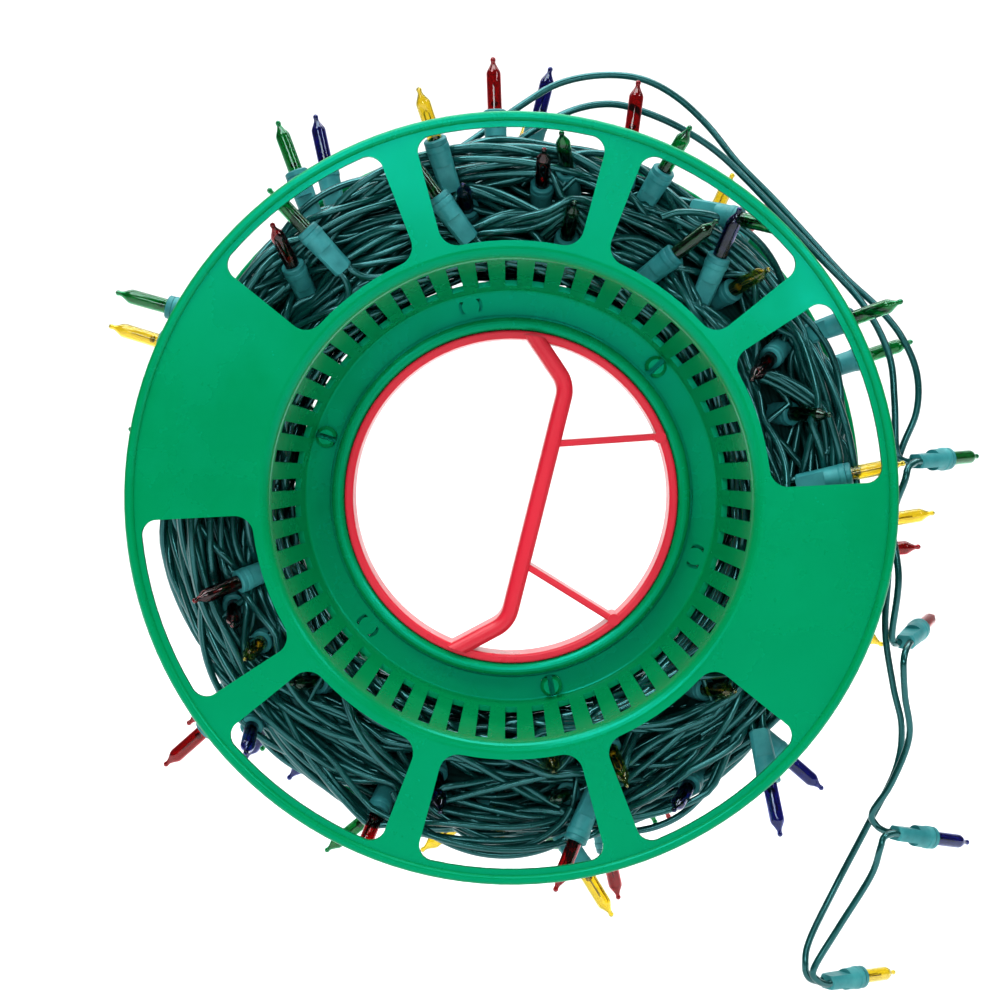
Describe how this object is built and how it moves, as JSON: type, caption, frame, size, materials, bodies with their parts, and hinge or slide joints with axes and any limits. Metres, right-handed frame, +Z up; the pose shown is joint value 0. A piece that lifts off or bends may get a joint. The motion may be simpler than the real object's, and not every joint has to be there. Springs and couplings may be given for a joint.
{
  "type": "wire spool",
  "caption": "Open-hub storage reel with windowed flanges and a stationary red hand grip, wound with a string of coloured miniature lamps.",
  "frame": {"origin": "on the reel's axis, half way between the two flanges, in the middle of the opening that the hand grips", "axes": "+Y along the reel's axis, away from the front flange; +Z up, towards the side where the free end of the string leaves the winding; +X to the side where that end hangs down"},
  "size_m": [0.3023, 0.076, 0.3208],
  "materials": {
    "reel_green": "smooth moulded plastic with a soft gloss",
    "grip_red": "smooth moulded plastic with a soft gloss",
    "wire_green": "soft satin wire insulation",
    "holder_green": "satin moulded plastic",
    "glass_red": "clear coloured glass",
    "glass_green": "clear coloured glass",
    "glass_blue": "clear coloured glass",
    "glass_yellow": "clear coloured glass"
  },
  "bodies": {
    "handle": {"handle": "grip_red"},
    "spool": {"front_half": "reel_green", "rear_half": "reel_green", "winding_core": "wire_green", "winding_turns": "wire_green", "front_lamp_holders": "holder_green", "rear_lamp_holders": "holder_green", "rim_lamp_holders": "holder_green", "front_lamp_bases": "holder_green", "rear_lamp_bases": "holder_green", "rim_lamp_bases": "holder_green", "red_bulbs": "glass_red", "green_bulbs": "glass_green", "blue_bulbs": "glass_blue", "yellow_bulbs": "glass_yellow", "return_wire": "wire_green", "feed_wire_1": "wire_green", "feed_wire_2": "wire_green", "feed_wire_3": "wire_green", "feed_wire_4": "wire_green", "tail_holder_1": "holder_green", "tail_base_1": "holder_green", "tail_bulb_1": "glass_green", "tail_holder_2": "holder_green", "tail_base_2": "holder_green", "tail_bulb_2": "glass_red", "tail_holder_3": "holder_green", "tail_base_3": "holder_green", "tail_bulb_3": "glass_blue", "tail_holder_4": "holder_green", "tail_base_4": "holder_green", "tail_bulb_4": "glass_yellow"}
  },
  "joints": [
    {"name": "spool_spin", "type": "hinge", "parent": "handle", "child": "spool", "pos_m": [0, 0, 0], "axis": [0, 1, 0], "continuous": true}
  ]
}
